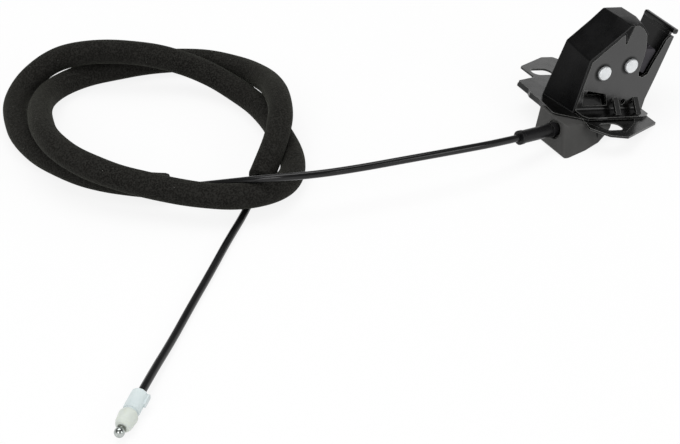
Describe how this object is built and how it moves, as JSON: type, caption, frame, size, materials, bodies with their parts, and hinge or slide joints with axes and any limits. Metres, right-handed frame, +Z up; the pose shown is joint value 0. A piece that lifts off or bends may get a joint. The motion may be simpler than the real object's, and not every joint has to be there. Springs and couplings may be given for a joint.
{
  "type": "car door lock",
  "caption": "Rotary car door lock with a claw in a striker mouth, a folded steel base with slots, and a release cable in a foam sleeve that ends in a white fitting with a metal ball",
  "frame": {"origin": "on the table, below the middle of the lock's box without its cable", "axes": "+Z up from the table; -Y is the lock's front, which the striker enters along its mouth; the lock leans 15.5 degrees about Y, as it comes to rest; the cable runs off towards -X"},
  "size_m": [0.4897, 0.3896, 0.0738],
  "materials": {
    "black_coat": "black electrocoat, satin",
    "cover_plastic": "black moulded, fine matte grain",
    "housing_plastic": "grey-black moulded, satin",
    "zinc_plate": "bright zinc plating",
    "claw_coat": "grey phosphate with a violet tint",
    "lever_steel": "zinc-plated steel",
    "spring_steel": "oiled spring steel",
    "buffer_rubber": "soft black rubber",
    "ferrule_plastic": "black moulded, satin",
    "sheath_plastic": "black extruded, half gloss",
    "foam": "dark fine-celled foam",
    "fitting_white": "bluish white moulded, satin",
    "nose_white": "off-white, slightly translucent",
    "seal_rubber": "black rubber",
    "wire_steel": "bright drawn steel"
  },
  "bodies": {
    "lock": {"base_flange": "black_coat", "striker_plate": "black_coat", "rear_plate": "black_coat", "mechanism_cover": "cover_plastic", "pawl_rivet": "zinc_plate", "claw_rivet": "zinc_plate", "claw_spring": "spring_steel", "pawl_spring": "spring_steel", "striker_buffer": "buffer_rubber", "lower_housing": "housing_plastic", "cable_ferrule": "ferrule_plastic", "cable_sheath": "sheath_plastic", "foam_sleeve": "foam", "fitting_body": "fitting_white", "fitting_nose": "nose_white", "nose_seal": "seal_rubber"},
    "claw": {"claw": "claw_coat"},
    "pawl": {"pawl": "lever_steel"},
    "lever": {"release_lever": "lever_steel"},
    "lock_wire": {"wire_nipple": "zinc_plate", "latch_wire": "wire_steel"},
    "ball_wire": {"end_wire": "wire_steel", "ball_end": "zinc_plate"}
  },
  "joints": [
    {"name": "claw_turn", "type": "hinge", "parent": "lock", "child": "claw", "pos_m": [0.01507, -0.0199, 0.0418], "axis": [0, 1, 0], "range_deg": [0, 62], "stiffness_Nm_per_rad": 0.05, "springref_deg": -22.92, "deforming": ["claw_spring"]},
    {"name": "cable_pull", "type": "slide", "parent": "lock", "child": "ball_wire", "axis": [-0.7071, -0.7071, 0], "range_m": [0, 0.007], "stiffness_N_per_m": 300, "springref_m": -0.02},
    {"name": "wire_slide", "type": "slide", "parent": "lock", "child": "lock_wire", "axis": [-0.9731, -0.143, 0.1806], "range_m": [0, 0.007]},
    {"name": "lever_turn", "type": "hinge", "parent": "lock", "child": "lever", "pos_m": [-0.00765, -0.0154, 0.0426], "axis": [0, 1, 0], "range_deg": [0, 11]},
    {"name": "pawl_turn", "type": "hinge", "parent": "lock", "child": "pawl", "pos_m": [-0.00765, -0.0199, 0.0426], "axis": [0, 1, 0], "range_deg": [0, 11], "deforming": ["pawl_spring"]}
  ],
  "couplings": [
    {"joint": "wire_slide", "follows": "cable_pull", "ratio": 1},
    {"joint": "lever_turn", "follows": "cable_pull", "rad_per_m": 26.9},
    {"joint": "pawl_turn", "follows": "cable_pull", "rad_per_m": 26.9}
  ]
}
